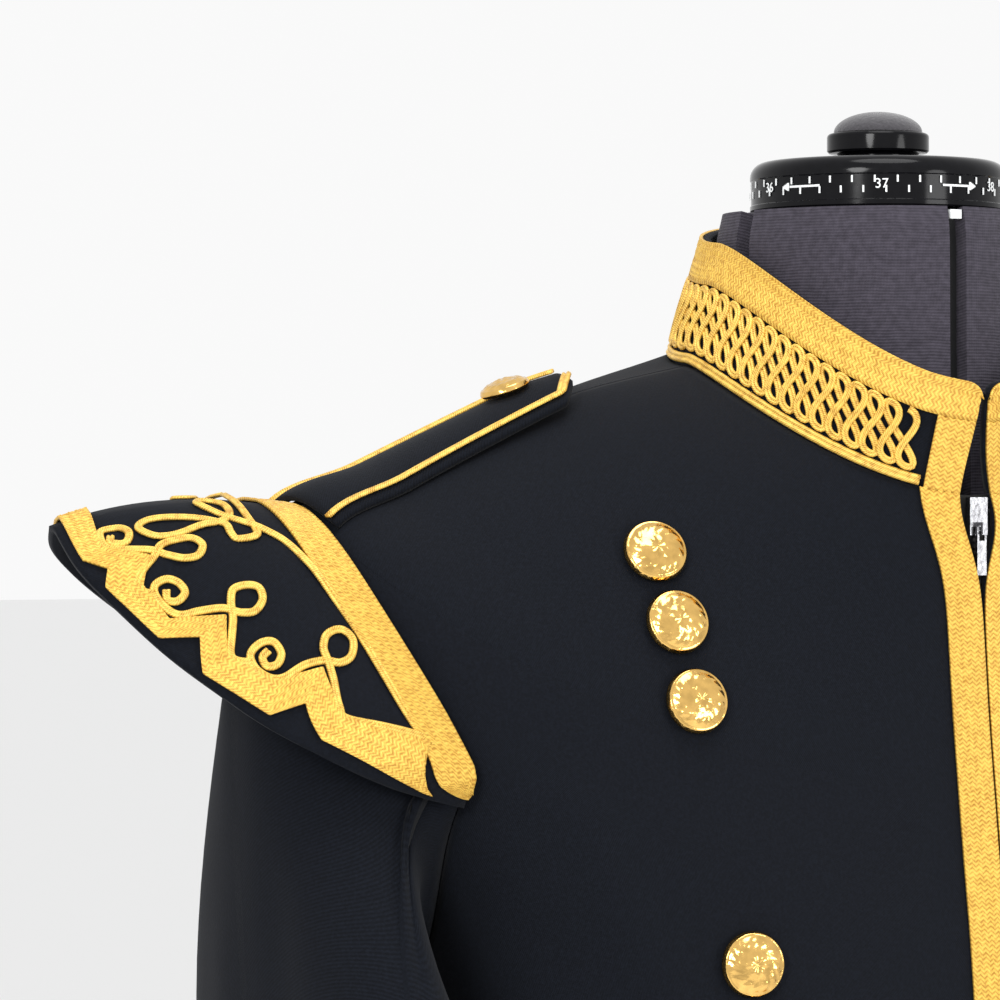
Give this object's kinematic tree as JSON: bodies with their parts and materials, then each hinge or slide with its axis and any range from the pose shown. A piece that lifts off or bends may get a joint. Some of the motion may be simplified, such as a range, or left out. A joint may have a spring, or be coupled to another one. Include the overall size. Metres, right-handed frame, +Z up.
{
  "type": "military doublet on dress form",
  "caption": "Short military doublet with stand collar, shoulder wings, straps, laced edges and zip front, worn by a limbless dress form on a round-based stand.",
  "frame": {"origin": "middle of the underside of the stand's round base, on the floor", "axes": "+Z up; -Y the way the doublet's front faces; -X towards the wearer's right"},
  "size_m": [0.67, 0.4, 1.5492],
  "materials": {
    "navy_cloth": "matt twill",
    "gold_lace": "woven metallic thread",
    "button_brass": "polished",
    "black_tape": "woven",
    "nickel": "bright",
    "grey_jersey": "ribbed jersey",
    "black_plastic": "glossy",
    "grey_felt": "felt",
    "chrome_tube": "polished",
    "black_iron": "satin"
  },
  "bodies": {
    "doublet_and_form": {"front_right": "navy_cloth", "front_left": "navy_cloth", "back": "navy_cloth", "sleeve_right": "navy_cloth", "sleeve_left": "navy_cloth", "collar": "navy_cloth", "collar_cord": "gold_lace", "collar_braid": "gold_lace", "collar_lace": "gold_lace", "front_lace_right": "gold_lace", "front_lace_left": "gold_lace", "wing_right": "navy_cloth", "wing_left": "navy_cloth", "wing_lace_right": "gold_lace", "wing_lace_left": "gold_lace", "wing_zigzag_right": "gold_lace", "wing_zigzag_left": "gold_lace", "strap_right": "navy_cloth", "strap_left": "navy_cloth", "strap_cord_front_right": "gold_lace", "strap_cord_back_right": "gold_lace", "strap_cord_front_left": "gold_lace", "strap_cord_back_left": "gold_lace", "strap_button_right": "button_brass", "strap_button_left": "button_brass", "button_right_1": "button_brass", "button_right_2": "button_brass", "button_right_3": "button_brass", "button_right_4": "button_brass", "button_right_5": "button_brass", "button_right_6": "button_brass", "button_right_7": "button_brass", "button_right_8": "button_brass", "button_right_9": "button_brass", "button_left_1": "button_brass", "button_left_2": "button_brass", "button_left_3": "button_brass", "button_left_4": "button_brass", "button_left_5": "button_brass", "button_left_6": "button_brass", "button_left_7": "button_brass", "button_left_8": "button_brass", "button_left_9": "button_brass", "zip_tape_right": "black_tape", "zip_tape_left": "black_tape", "zip_slider": "nickel", "form_body": "grey_jersey", "form_cap": "black_plastic", "form_knob": "black_plastic", "form_cushion": "grey_felt", "stand_pole": "chrome_tube", "stand_base": "black_iron"},
    "pull_tab": {"zip_pull": "nickel"}
  },
  "joints": [
    {"name": "zip_pull_swing", "type": "hinge", "parent": "doublet_and_form", "child": "pull_tab", "pos_m": [0, -0.07274, 1.3895], "axis": [-1, 0, 0], "range_deg": [0, 150]}
  ]
}
